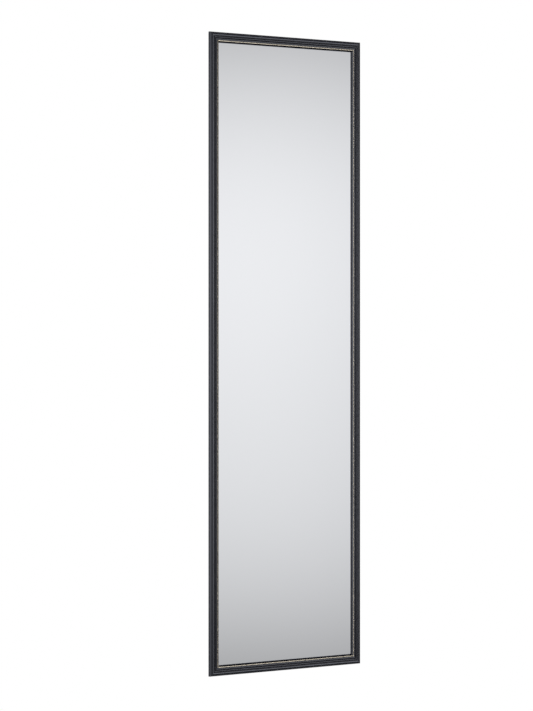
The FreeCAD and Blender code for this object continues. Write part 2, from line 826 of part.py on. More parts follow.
def leaf_screws():
    """Wood screws that hold the leaf to the backing board."""
    screws = []
    for along, up in leaf_screw_spots():
        place = (f"{along} - pivot_left", "leaf_thick - knuckle_round - pivot_out", up)
        sizes = ("leaf_head", "leaf_head_tall", "leaf_shank", "leaf_thick + leaf_screw_deep")
        screws.append(headed(place, FACING_BACK, *sizes, sides=6))
    group("leaf_screws", screws)


def pivot_pin():
    """Headed pin down through both ears and the knuckle, with a groove for its clip."""
    pin = new_body("pivot_pin", PIVOT)
    head = "ear_inside + ear_thick + washer_thick + 2 * running_play"
    low = "ear_inside + ear_thick + pin_below"
    groove = "ear_inside + ear_thick + clip_below"
    corners = [
        ("0", f"-({low})"),
        ("pin_round - pin_chamfer", f"-({low})"),
        ("pin_round", f"pin_chamfer - ({low})"),
        ("pin_round", f"-({groove} + clip_thick)"),
        ("clip_groove", f"-({groove} + clip_thick)"),
        ("clip_groove", f"-({groove})"),
        ("pin_round", f"-({groove})"),
        ("pin_round", head),
        ("pin_head", head),
        ("pin_head", f"{head} + pin_head_tall - pin_chamfer"),
        ("pin_head - pin_chamfer", f"{head} + pin_head_tall"),
        ("0", f"{head} + pin_head_tall"),
    ]
    revolve(pin, corners)


def pin_washer():
    """Flat washer between the pin's head and the upper ear."""
    washer = new_body("pin_washer", PIVOT)
    low = "ear_inside + ear_thick + running_play"
    high = f"{low} + washer_thick"
    corners = [("pin_round", low), ("washer_round", low), ("washer_round", high), ("pin_round", high)]
    revolve(washer, corners)


def disc_spring():
    """Coned spring washer that gives the swivel its drag, between the lower ear and the clip."""
    spring = new_body("disc_spring", PIVOT)
    top = "-(ear_inside + ear_thick + running_play)"
    corners = [
        ("pin_round", f"{top} - spring_rise - spring_thick"),
        ("washer_round", f"{top} - spring_thick"),
        ("washer_round", top),
        ("pin_round", f"{top} - spring_rise"),
    ]
    revolve(spring, corners)


def retaining_clip():
    """Open ring snapped into the pin's groove."""
    clip = new_body("retaining_clip", PIVOT)
    base = "-(ear_inside + ear_thick + clip_below + clip_thick)"
    ring = new_sketch(clip, "ring", "XY_Plane", base)
    add_circle(ring, ("0", "0"), "clip_round")
    add_circle(ring, ("0", "0"), "clip_groove")
    pad(clip, ring, "clip_thick")
    mouth = new_sketch(clip, "mouth", "XY_Plane", base)
    add_rectangle(mouth, "0", "2 * clip_round", "-clip_mouth_half", "clip_mouth_half")
    cut_through(clip, mouth)


# ---- Magnetic catch ------------------------------------------------------------------------


def catch_housing():
    """Moulded post on the inner rail that carries the magnet."""
    housing = new_body("catch_housing", ("catch_right", "-slide_depth", "0"))
    base = new_sketch(housing, "base", "XZ_Plane")
    add_rectangle(base, "-catch_base_half", "catch_base_half", "-catch_base_up", "catch_base_up")
    pad(housing, base, "catch_base_thick")
    post = new_sketch(housing, "post", "XZ_Plane", "catch_base_thick")
    add_circle(post, ("0", "0"), "catch_post")
    pad(housing, post, "catch_length - catch_base_thick")
    seat = new_sketch(housing, "seat", "XZ_Plane", "catch_length")
    add_circle(seat, ("0", "0"), "magnet_round")
    hollow = housing.newObject("PartDesign::Pocket", "magnet_seat")
    hollow.Profile = seat
    hollow.setExpression("Length", bound("magnet_thick"))
    peg = new_sketch(housing, "peg", "XZ_Plane")
    add_circle(peg, ("0", "0"), "catch_peg")
    pad(housing, peg, "gauge", reverse=True)


def catch_magnet():
    magnet = primitive(
        "Cylinder",
        {"Radius": "magnet_round", "Height": "magnet_thick"},
        ("catch_right", "magnet_thick - catch_length - slide_depth", "0"),
        FACING_FRONT,
    )
    named("catch_magnet", magnet)


def strike_plate():
    """Steel plate bonded to the board for the magnet to pull on."""
    centre = ("catch_right", f"{BOARD_BACK} + strike_thick / 2", "0")
    named("strike_plate", box(centre, ("2 * strike_half", "strike_thick", "2 * strike_up")))


# ---- Whole object --------------------------------------------------------------------------


def build():
    fill_sheet()
    for side, kind in (("left", "stile"), ("right", "stile"), ("top", "rail"), ("bottom", "rail")):
        frame_stick(f"frame_{kind}_{side}", MOULDING_SECTION, side)
    for side in FRAME_SIDES:
        frame_stick(f"gilt_strip_{side}", GILT_SECTION, side)
    mirror_glass()
    backing_board()
    glazing_tabs()
    corner_wedges()
    fixed_rail()
    rear_buffer()
    outer_row = ("outer_row_depth", "outer_row_up", "outer_ball")
    ball_cage("outer_ball_cage", "outer_cage_web", "outer_cage_depth", *outer_row)
    balls("outer_balls", *outer_row)
    middle_rail()
    inner_row = ("inner_row_depth", "inner_row_up", "inner_ball")
    ball_cage("inner_ball_cage", "inner_cage_web", "inner_cage_depth", *inner_row)
    balls("inner_balls", *inner_row)
    inner_rail()
    swivel_bracket()
    bracket_rivets()
    pivot_bush("upper_bush", 0)
    pivot_bush("lower_bush", 180)
    hinge_leaf()
    leaf_screws()
    pivot_pin()
    pin_washer()
    disc_spring()
    retaining_clip()
    catch_housing()
    catch_magnet()
    strike_plate()
    doc.recompute()


def check():
    """Stop if any object failed or any sub-part isn't a sound solid."""
    for thing in doc.Objects:
        if {"Invalid", "Error"} & set(thing.State):
            raise RuntimeError(f"{thing.Label} failed: {thing.State}")
    for part in sub_parts:
        if part.Shape.isNull() or not part.Shape.isValid() or not part.Shape.Solids:
            raise RuntimeError(f"{part.Label} has no sound shape")


def write():
    os.makedirs("parts", exist_ok=True)
    for part in sub_parts:
        part.Shape.exportStep(f"parts/{part.Label}.step")
        print(f"{part.Label}: {len(part.Shape.Solids)} solids, {part.Shape.Volume / 1000:.2f} cm3")


build()
check()
write()
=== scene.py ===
"""The looks of a pull-out closet mirror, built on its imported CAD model.

A tall mirror in a reeded black frame with a fine gilt line hangs on a ball-bearing slide. It parks
facing -Y in front of the closet side, pulls out towards -X and swivels on a pin near its leading
edge. Everything is in metres, in the frame of the CAD model.
"""
import logging
import math
from dataclasses import dataclass
from enum import Enum

import bmesh
import bpy
import numpy as np
from numpy.typing import ArrayLike, NDArray
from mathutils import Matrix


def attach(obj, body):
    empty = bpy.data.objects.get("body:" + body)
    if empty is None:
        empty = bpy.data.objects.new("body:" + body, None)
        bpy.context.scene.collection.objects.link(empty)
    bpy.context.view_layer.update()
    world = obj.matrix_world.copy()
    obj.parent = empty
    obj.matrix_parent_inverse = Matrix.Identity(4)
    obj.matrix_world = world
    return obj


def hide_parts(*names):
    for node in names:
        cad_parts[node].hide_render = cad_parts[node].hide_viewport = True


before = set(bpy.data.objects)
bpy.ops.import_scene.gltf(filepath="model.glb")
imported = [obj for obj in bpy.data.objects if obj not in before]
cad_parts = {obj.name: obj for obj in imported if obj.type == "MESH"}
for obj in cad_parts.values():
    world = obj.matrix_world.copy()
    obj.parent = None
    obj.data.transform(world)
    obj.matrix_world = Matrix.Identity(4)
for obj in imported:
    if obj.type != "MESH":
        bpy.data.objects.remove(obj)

log = logging.getLogger("closet_mirror")

Array = NDArray[np.float64]
Colour = tuple[float, float, float]
Triple = tuple[float, float, float]
Pair = tuple[float, float]
Socket = bpy.types.NodeSocket
Input = float | Socket
Value = float | tuple[float, ...] | Socket

MM = 0.001
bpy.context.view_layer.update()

# Points nearer than this are one point: in a new surface, and in a CAD node's loose triangles.
WELD_NEW = 0.0005 * MM
WELD_CAD = 0.002 * MM
# Faces that meet at less than the first angle are one flat face. Past the others an edge is shaded
# sharp, and gets a bevel of a few steps.
FLAT_ANGLE = math.radians(1)
SHARP_ANGLE = math.radians(38)
BEVEL_ANGLE = math.radians(40)
BEVEL_STEPS = 2
# Most of a soft pattern lies between these values.
PATTERN_LOW, PATTERN_HIGH = 0.3, 0.7
# A mix node's sockets for colours, by number, because others have the same names.
MIX_FACTOR, MIX_ONE, MIX_OTHER, MIX_RESULT = 0, 6, 7, 2
WHITE = (1, 1, 1, 1)


class Body(Enum):
    """The bodies of the assembly that move apart."""

    MOUNT = "closet_mount"
    OUTER_CAGE = "outer_cage"
    MIDDLE = "middle_member"
    INNER_CAGE = "inner_cage"
    CARRIAGE = "carriage"
    MIRROR = "mirror"


class Slot(Enum):
    """The material slots of the part."""

    LACQUER = "black_lacquer"
    GILT = "gilt"
    GLASS = "mirror_glass"
    BOARD = "backing"
    ZINC = "zinc_steel"
    DARK_STEEL = "dark_steel"
    BALL_STEEL = "ball_steel"
    ACETAL = "cage_plastic"
    NYLON = "black_plastic"
    MAGNET = "magnet"


class Side(Enum):
    """A side of the frame: quarter turns clockwise from the top, as seen from the front."""

    TOP = 0
    RIGHT = 1
    BOTTOM = 2
    LEFT = 3

    @property
    def upright(self) -> bool:
        """Whether it is one of the two long sides."""
        return self in (Side.LEFT, Side.RIGHT)


class Facing(Enum):
    """Where a turned piece's own axis points: the rows turn its x, y and z into the part's."""

    UP = ((1, 0, 0), (0, 1, 0), (0, 0, 1))
    DOWN = ((1, 0, 0), (0, -1, 0), (0, 0, -1))
    FRONT = ((1, 0, 0), (0, 0, 1), (0, -1, 0))
    BACK = ((1, 0, 0), (0, 0, -1), (0, 1, 0))


# ---- Shapes --------------------------------------------------------------------------------


def arc(start: ArrayLike, end: ArrayLike, radius: float, turn: int, steps: int = 10) -> Array:
    """Points along the shorter arc from start to end, both included.

    The centre stands off the middle of the chord by the square root of radius squared less half
    the chord squared, and the points turn about it by equal angles.

    Args:
        start: first point of the arc.
        end: last point of the arc.
        radius: its radius.
        turn: 1 runs anticlockwise and -1 clockwise.
        steps: how many chords the arc is drawn with.

    Returns:
        The points, one a row.
    """
    first, last = np.asarray(start, float), np.asarray(end, float)
    chord = last - first
    half = float(np.linalg.norm(chord)) / 2
    side = np.array((-chord[1], chord[0])) / (2 * half)
    centre = (first + last) / 2 + side * turn * math.sqrt(max(radius**2 - half**2, 0.0))
    begin = math.atan2(first[1] - centre[1], first[0] - centre[0])
    angles = begin + turn * 2 * math.asin(min(half / radius, 1.0)) * np.linspace(0, 1, steps + 1)
    return centre + radius * np.column_stack((np.cos(angles), np.sin(angles)))


def eased(outline: Array, reach: float, most: float = 0.4) -> Array:
    """Round every corner of a closed outline a little.

    Each corner gives way to three points: one back and one on along its sides, and the corner's
    own point drawn halfway to their middle.

    Args:
        outline: corners, one a row.
        reach: how far the rounding runs along each side.
        most: the largest share of a side that it takes up.

    Returns:
        The rounded outline, with three points for each corner.
    """
    before = np.roll(outline, 1, axis=0) - outline
    after = np.roll(outline, -1, axis=0) - outline
    cut = []
    for side in (before, after):
        length = np.linalg.norm(side, axis=1, keepdims=True)
        cut.append(outline + side * np.minimum(reach / length, most))
    middle = (outline + (cut[0] + cut[1]) / 2) / 2
    return np.stack((cut[0], middle, cut[1]), axis=1).reshape(-1, 2)


def surface(name: str, grids: Array, round_rows: bool = False, caps: bool = False) -> bpy.types.Object:
    """Make one mesh of grids of points whose columns close on themselves.

    Args:
        name: the piece's name.
        grids: points as (copies, rows, columns, 3).
        round_rows: the last row joins the first too.
        caps: the first and last rows are closed with a face each.

    Returns:
        The new object, at the origin.
    """
    copies, rows, columns, _ = grids.shape
    index = np.arange(rows * columns).reshape(rows, columns)
    across = np.roll(index, -1, axis=1)
    down = np.roll(index, -1, axis=0)
    quads = np.stack((index, across, np.roll(across, -1, axis=0), down), axis=-1)
    if not round_rows:
        quads = quads[:-1]
    starts = np.arange(copies)[:, None] * rows * columns
    faces = (quads.reshape(1, -1) + starts).reshape(-1, 4).tolist()
    if caps:
        faces += (index[0][None] + starts).tolist() + (index[-1][None] + starts).tolist()
    mesh = bpy.data.meshes.new(name)
    mesh.from_pydata(grids.reshape(-1, 3).tolist(), [], faces)
    return finished(name, mesh)


def finished(name: str, mesh: bpy.types.Mesh) -> bpy.types.Object:
    """Close a mesh's seams and poles, turn its faces outwards and shade it.

    Args:
        name: the piece's name.
        mesh: the mesh, changed in place.

    Returns:
        The new object that holds the mesh.
    """
    loose = bmesh.new()
    loose.from_mesh(mesh)
    bmesh.ops.remove_doubles(loose, verts=loose.verts, dist=WELD_NEW)
    bmesh.ops.recalc_face_normals(loose, faces=loose.faces)
    loose.to_mesh(mesh)
    loose.free()
    mesh.shade_smooth()
    mesh.set_sharp_from_angle(angle=SHARP_ANGLE)
    piece = bpy.data.objects.new(name, mesh)
    bpy.context.scene.collection.objects.link(piece)
    return piece


def placed(points: Array, centre: ArrayLike, facing: Facing) -> Array:
    """Turn points so that their z axis points the given way, then move them to a centre."""
    return points @ np.array(facing.value, float) + np.asarray(centre, float)


def turned(section: Array, steps: int = 48) -> Array:
    """Turn a section about the z axis: each row of the grid is the section at one angle.

    A point at radius r and height z goes to (r cos a, r sin a, z) for equal steps of the angle a.

    Args:
        section: (radius, height) corners, one a row.
        steps: how many angles there are in the whole turn.

    Returns:
        Points as (steps, corners, 3).
    """
    angle = np.linspace(0, 2 * math.pi, steps, endpoint=False)[:, None]
    radius, height = section[None, :, 0], section[None, :, 1]
    flat = np.stack((radius * np.cos(angle), radius * np.sin(angle)), axis=-1)
    return np.concatenate((flat, np.broadcast_to(height[..., None], flat.shape[:2] + (1,))), axis=-1)


def eased_copy(node: str, width: float) -> bpy.types.Object:
    """Copy a CAD node and soften its edges, as pressing or moulding leaves them.

    Args:
        node: the CAD node.
        width: how far each edge is rounded.

    Returns:
        The new object.
    """
    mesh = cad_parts[node].data.copy()
    mesh.materials.clear()
    loose = bmesh.new()
    loose.from_mesh(mesh)
    bmesh.ops.remove_doubles(loose, verts=loose.verts, dist=WELD_CAD)
    bmesh.ops.dissolve_limit(loose, angle_limit=FLAT_ANGLE, verts=loose.verts, edges=loose.edges)
    loose.to_mesh(mesh)
    loose.free()
    piece = finished(f"{node}_finished", mesh)
    bevel = piece.modifiers.new("soft_edges", "BEVEL")
    bevel.width = width
    bevel.segments = BEVEL_STEPS
    bevel.limit_method = "ANGLE"
    bevel.angle_limit = BEVEL_ANGLE
    bevel.harden_normals = True
    return piece


# ---- Finishes ------------------------------------------------------------------------------


@dataclass(frozen=True)
class Pattern:
    """Soft random patches on a piece.

    Args:
        scale: how many patches a metre holds along each axis.
        detail: how many finer layers are added.
        rough: how strong the finer layers are.
        follows: the mesh attribute that it is laid along, or none for the object's own place.
    """

    scale: Triple
    detail: float = 3.0
    rough: float = 0.5
    follows: str = ""


@dataclass(frozen=True)
class Panel:
    """A glowing panel of the cove, or a ring of it.

    Args:
        level: how bright it is at its middle; below 0 it takes light away.
        middle: where that is: a panel's in degrees round the room, from -Y towards +X, and a
            ring's as a height in metres.
        reach: how far either way it fades.
        power: how sharply it ends; 2 is a soft bell.
    """

    level: float
    middle: float
    reach: float
    power: float = 2.0


class Graph:
    """A node tree being wired up."""

    def __init__(self, tree: bpy.types.NodeTree) -> None:
        """Take hold of the tree's nodes and links."""
        self.nodes = tree.nodes
        self.links = tree.links

    def fill(self, node: bpy.types.Node, inputs: dict[str | int, Value]) -> bpy.types.Node:
        """Link or set a node's inputs.

        Args:
            node: the node.
            inputs: for each input, by name or number, a socket to link or a value to set.

        Returns:
            The same node.
        """
        for name, value in inputs.items():
            if isinstance(value, Socket):
                self.links.new(value, node.inputs[name])
            else:
                node.inputs[name].default_value = value
        return node

    def add(self, kind: str, inputs: dict[str | int, Value] | None = None) -> bpy.types.Node:
        """Add a node of a kind and fill its inputs."""
        return self.fill(self.nodes.new(kind), inputs or {})

    def maths(self, kind: str, *terms: Input) -> Socket:
        """Add a math node.

        Args:
            kind: its operation.
            terms: sockets or numbers, in order.

        Returns:
            The result's socket.
        """
        node = self.nodes.new("ShaderNodeMath")
        node.operation = kind
        return self.fill(node, dict(enumerate(terms))).outputs[0]

    def bell(self, value: Input, middle: float, reach: float, power: float) -> Socket:
        """A hump of height 1: exp(-(|value - middle| / reach) ** power)."""
        away = self.maths("DIVIDE", self.maths("ABSOLUTE", self.maths("SUBTRACT", value, middle)), reach)
        return self.maths("EXPONENT", self.maths("MULTIPLY", self.maths("POWER", away, power), -1.0))

    def lit(self, value: Socket, panels: tuple[Panel, ...], base: Input = 0.0) -> Input:
        """Add up what glows at a bearing or a height.

        Args:
            value: the bearing or the height.
            panels: the panels or rings there.
            base: the level that they are added to.

        Returns:
            The base plus each panel's level times its bell.
        """
        for panel in panels:
            hump = self.bell(value, panel.middle, panel.reach, panel.power)
            base = self.maths("MULTIPLY_ADD", hump, panel.level, base)
        return base


class Recipe(Graph):
    """A node material being put together around one principled shader."""

    def __init__(self, name: str) -> None:
        """Start a material.

        Args:
            name: the material's name.
        """
        self.material = bpy.data.materials.new(name)
        self.material.use_nodes = True
        super().__init__(self.material.node_tree)
        self.shader = self.nodes["Principled BSDF"]

    def feed(self, name: str, source: Socket) -> None:
        """Drive one of the principled shader's sockets from a node."""
        self.links.new(source, self.shader.inputs[name])

    def show(self, shading: Socket) -> None:
        """Let the surface come from another shader than the principled one."""
        self.links.new(shading, self.nodes["Material Output"].inputs["Surface"])

    def place(self, scale: Triple, follows: str = "") -> Socket:
        """Where a pattern is read.

        Args:
            scale: how many pattern lengths a metre holds along each axis.
            follows: the mesh attribute to read instead of the object's own place.

        Returns:
            The vector socket.
        """
        if follows:
            source = self.add("ShaderNodeAttribute")
            source.attribute_name = follows
            start = source.outputs["Vector"]
        else:
            start = self.add("ShaderNodeTexCoord").outputs["Object"]
        return self.add("ShaderNodeMapping", {"Vector": start, "Scale": scale}).outputs["Vector"]

    def noise(self, pattern: Pattern) -> Socket:
        """Lay a soft pattern.

        Args:
            pattern: the pattern.

        Returns:
            The socket of its value: from 0 to 1, and mostly near the middle.
        """
        inputs = {"Vector": self.place(pattern.scale, pattern.follows), "Scale": 1,
                  "Detail": pattern.detail, "Roughness": pattern.rough}
        return self.add("ShaderNodeTexNoise", inputs).outputs["Fac"]

    def grains(self, scale: float) -> Socket:
        """Random flat patches with sharp bounds, as in crystals: a value from 0 to 1 for each."""
        cells = self.add("ShaderNodeTexVoronoi", {"Vector": self.place((scale,) * 3), "Scale": 1})
        return self.add("ShaderNodeSeparateColor", {"Color": cells.outputs["Color"]}).outputs["Red"]

    def between(self, factor: Socket, low: float, high: float) -> Socket:
        """Carry the range that most of a pattern lies in over to the range from low to high."""
        ends = {"From Min": PATTERN_LOW, "From Max": PATTERN_HIGH, "To Min": low, "To Max": high}
        return self.add("ShaderNodeMapRange", {"Value": factor, **ends}).outputs["Result"]

    def colours(self, factor: Socket, one: Colour, other: Colour) -> Socket:
        """Blend from one colour to another with a pattern.

        Args:
            factor: the pattern.
            one: the colour at its low end.
            other: the colour at its high end.

        Returns:
            The blended colour's socket.
        """
        node = self.nodes.new("ShaderNodeMix")
        node.data_type = "RGBA"
        ends = {MIX_FACTOR: self.between(factor, 0, 1), MIX_ONE: (*one, 1), MIX_OTHER: (*other, 1)}
        return self.fill(node, ends).outputs[MIX_RESULT]

    def relief(self, height: Socket, deep: float, kept: float) -> None:
        """Raise and sink the surface with a pattern.

        Args:
            height: the pattern.
            deep: the height between its 0 and 1, in metres.
            kept: how much of the slope is kept.
        """
        bump = self.add("ShaderNodeBump", {"Height": height, "Distance": deep, "Strength": kept})
        self.feed("Normal", bump.outputs["Normal"])


@dataclass(frozen=True)
class Finish:
    """What every finish has: one pattern blends its colours, another is its texture.

    Args:
        slot: the slot that it fills.
        colour: its colour.
        other: the colour that it drifts to.
        cloud: the pattern of that drift.
        texture: the pattern of its roughness and its relief.
        rough: its least and its most roughness.
        deep: how deep the relief is, in metres, or 0 for none.
        kept: how much of the relief's slope is kept.
        metallic: 1 for a metal.
    """

    slot: Slot
    colour: Colour
    other: Colour
    cloud: Pattern
    texture: Pattern
    rough: Pair
    deep: float = 0.0
    kept: float = 1.0
    metallic: float = 0.0

    def blend(self, recipe: Recipe, texture: Socket) -> Socket:
        """The pattern that blends the colours."""
        return recipe.noise(self.cloud)

    def roughness(self, recipe: Recipe, texture: Socket) -> Socket:
        """How rough it is."""
        return recipe.between(texture, *self.rough)

    def uniform(self) -> dict[str, float]:
        """What is the same all over, by the shader's names."""
        return {"Metallic": self.metallic}

    def material(self) -> bpy.types.Material:
        """Build the node material.

        Returns:
            The material, with all its patterns.
        """
        recipe = Recipe(self.slot.value)
        texture = recipe.noise(self.texture)
        blend = self.blend(recipe, texture)
        recipe.feed("Base Color", recipe.colours(blend, self.colour, self.other))
        recipe.feed("Roughness", self.roughness(recipe, texture))
        if self.deep:
            recipe.relief(texture, self.deep, self.kept)
        recipe.fill(recipe.shader, self.uniform())
        return recipe.material


@dataclass(frozen=True)
class SatinLacquer(Finish):
    """Black lacquer over close-grained wood, with the grain just telling through."""

    slot: Slot = Slot.LACQUER
    colour: Colour = (0.0032, 0.0032, 0.0056)
    other: Colour = (0.0048, 0.0049, 0.0080)
    cloud: Pattern = Pattern((9, 60, 1), follows="along_grain")
    texture: Pattern = Pattern((45, 2600, 1), 4, follows="along_grain")
    rough: Pair = (0.09, 0.13)
    deep: float = 0.012 * MM
    kept: float = 0.35
    coat: float = 0.1
    coat_rough: float = 0.08

    def uniform(self) -> dict[str, float]:
        """Its thin clear coat."""
        return {"Coat Weight": self.coat, "Coat Roughness": self.coat_rough}


@dataclass(frozen=True)
class ChampagneGilt(Finish):
    """Pale metal leaf, burnished along the stick."""

    slot: Slot = Slot.GILT
    colour: Colour = (0.39, 0.345, 0.255)
    other: Colour = (0.32, 0.277, 0.198)
    cloud: Pattern = Pattern((40, 500, 1), 5, 0.6, "along_grain")
    texture: Pattern = Pattern((60, 9000, 1), follows="along_grain")
    rough: Pair = (0.28, 0.42)
    deep: float = 0.01 * MM
    kept: float = 0.4
    metallic: float = 1.0

    def roughness(self, recipe: Recipe, texture: Socket) -> Socket:
        """The leaf is rougher where it is thin, so this follows its colour."""
        return recipe.between(recipe.noise(self.cloud), *self.rough)


@dataclass(frozen=True)
class SilveredGlass(Finish):
    """Float glass silvered on its back, with the faintest haze of wiping."""

    slot: Slot = Slot.GLASS
    colour: Colour = (0.920, 0.921, 0.924)
    other: Colour = (0.908, 0.914, 0.915)
    cloud: Pattern = Pattern((3, 3, 1.2))
    texture: Pattern = Pattern((16, 16, 5), 4)
    rough: Pair = (0.012, 0.028)
    metallic: float = 1.0


@dataclass(frozen=True)
class Hardboard(Finish):
    """Pressed brown wood fibre, smooth side out."""

    slot: Slot = Slot.BOARD
    colour: Colour = (0.150, 0.086, 0.045)
    other: Colour = (0.235, 0.148, 0.084)
    cloud: Pattern = Pattern((14, 14, 9), 5, 0.6)
    texture: Pattern = Pattern((700, 700, 260), 6, 0.7)
    rough: Pair = (0.55, 0.8)
    deep: float = 0.08 * MM
    kept: float = 0.6
    fibre_share: float = 0.7
    cloud_share: Pair = (0.07, 0.23)

    def blend(self, recipe: Recipe, texture: Socket) -> Socket:
        """The fibres, with soft clouds over them."""
        clouds = recipe.between(recipe.noise(self.cloud), *self.cloud_share)
        return recipe.maths("MULTIPLY_ADD", texture, self.fibre_share, clouds)


@dataclass(frozen=True)
class ZincSteel(Finish):
    """Rolled steel under bright zinc, drawn along the slide."""

    slot: Slot = Slot.ZINC
    colour: Colour = (0.56, 0.57, 0.60)
    other: Colour = (0.45, 0.46, 0.48)
    cloud: Pattern = Pattern((60, 60, 60))
    texture: Pattern = Pattern((12, 2200, 2200))
    rough: Pair = (0.28, 0.38)
    deep: float = 0.012 * MM
    kept: float = 0.3
    metallic: float = 1.0
    flakes: float = 420
    flake_rough: float = 0.10

    def roughness(self, recipe: Recipe, texture: Socket) -> Socket:
        """The drawn lines' roughness, and by chance a little more on each flake of zinc."""
        lines = recipe.between(texture, *self.rough)
        return recipe.maths("MULTIPLY_ADD", recipe.grains(self.flakes), self.flake_rough, lines)


@dataclass(frozen=True)
class PowderCoat(Finish):
    """Fine black powder coat on pressed steel."""

    slot: Slot = Slot.DARK_STEEL
    colour: Colour = (0.020, 0.020, 0.022)
    other: Colour = (0.032, 0.032, 0.034)
    cloud: Pattern = Pattern((900, 900, 900), 2)
    texture: Pattern = Pattern((900, 900, 900), 2)
    rough: Pair = (0.38, 0.52)
    deep: float = 0.05 * MM
    kept: float = 0.6


@dataclass(frozen=True)
class BearingSteel(Finish):
    """Polished steel with a thin smear of grease."""

    slot: Slot = Slot.BALL_STEEL
    colour: Colour = (0.70, 0.71, 0.73)
    other: Colour = (0.55, 0.55, 0.54)
    cloud: Pattern = Pattern((500, 500, 500))
    texture: Pattern = Pattern((500, 500, 500))
    rough: Pair = (0.06, 0.2)
    metallic: float = 1.0


@dataclass(frozen=True)
class Moulded(Finish):
    """Moulded plastic with a fine spark-eroded texture; its slot and colours are given."""

    cloud: Pattern = Pattern((90, 90, 90), 2)
    texture: Pattern = Pattern((1600, 1600, 1600))
    rough: Pair = (0.42, 0.6)
    deep: float = 0.03 * MM
    kept: float = 0.6


@dataclass(frozen=True)
class NickelPlate(Finish):
    """Bright nickel over a pressed magnet."""

    slot: Slot = Slot.MAGNET
    colour: Colour = (0.66, 0.65, 0.62)
    other: Colour = (0.50, 0.49, 0.47)
    cloud: Pattern = Pattern((300, 300, 300), 4)
    texture: Pattern = Pattern((300, 300, 300), 4)
    rough: Pair = (0.14, 0.3)
    metallic: float = 1.0


class Workshop:
    """Holds the finishes, makes the pieces in them and hands these over to their bodies."""

    def __init__(self) -> None:
        """Mix every finish once."""
        acetal = Moulded(Slot.ACETAL, (0.56, 0.57, 0.55), (0.66, 0.67, 0.65))
        nylon = Moulded(Slot.NYLON, (0.016, 0.016, 0.018), (0.026, 0.026, 0.028))
        finishes = (
            SatinLacquer(), ChampagneGilt(), SilveredGlass(), Hardboard(), ZincSteel(), PowderCoat(),
            BearingSteel(), acetal, nylon, NickelPlate(),
        )
        self.materials = {finish.slot: finish.material() for finish in finishes}
        self.count = 0

    def hand_over(self, piece: bpy.types.Object, node: str, slot: Slot, body: Body) -> None:
        """Finish a new piece, let it stand for a CAD node and let it ride on a body.

        Args:
            piece: the new piece.
            node: the CAD node.
            slot: its finish.
            body: what it moves with.
        """
        piece.data.materials.clear()
        piece.data.materials.append(self.materials[slot])
        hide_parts(node)
        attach(piece, body.value)
        self.count += 1
        log.info("%s rides on %s in %s", piece.name, body.value, slot.value)

    def ease(self, node: str, width: float, slot: Slot, body: Body) -> None:
        """Put a soft-edged copy of a CAD node in its place."""
        self.hand_over(eased_copy(node, width), node, slot, body)

    def make(
        self, node: str, grids: Array, slot: Slot, body: Body, round_rows: bool = False, caps: bool = False,
    ) -> bpy.types.Object:
        """Put a new surface in the place of a CAD node.

        Args:
            node: the CAD node.
            grids: points as (copies, rows, columns, 3).
            slot: its finish.
            body: what it moves with.
            round_rows: the last row joins the first too.
            caps: the first and last rows are closed with a face each.

        Returns:
            The new object.
        """
        piece = surface(f"{node}_finished", grids, round_rows, caps)
        self.hand_over(piece, node, slot, body)
        return piece


# ---- Mirror panel --------------------------------------------------------------------------


@dataclass(frozen=True)
class Crest:
    """A round crest of a moulding between two roots.

    Args:
        middle: how far inwards its middle lies.
        half: half the distance between its roots.
        root: how far back they lie.
        radius: the radius of its arc.
    """

    middle: float
    half: float
    root: float
    radius: float

    @property
    def ends(self) -> Pair:
        """How far inwards its outer and its inner root lie."""
        return self.middle - self.half, self.middle + self.half

    def points(self) -> Array:
        """Its arc, from the outer root to the inner one."""
        outer, inner = self.ends
        return arc((outer, self.root), (inner, self.root), self.radius, 1)


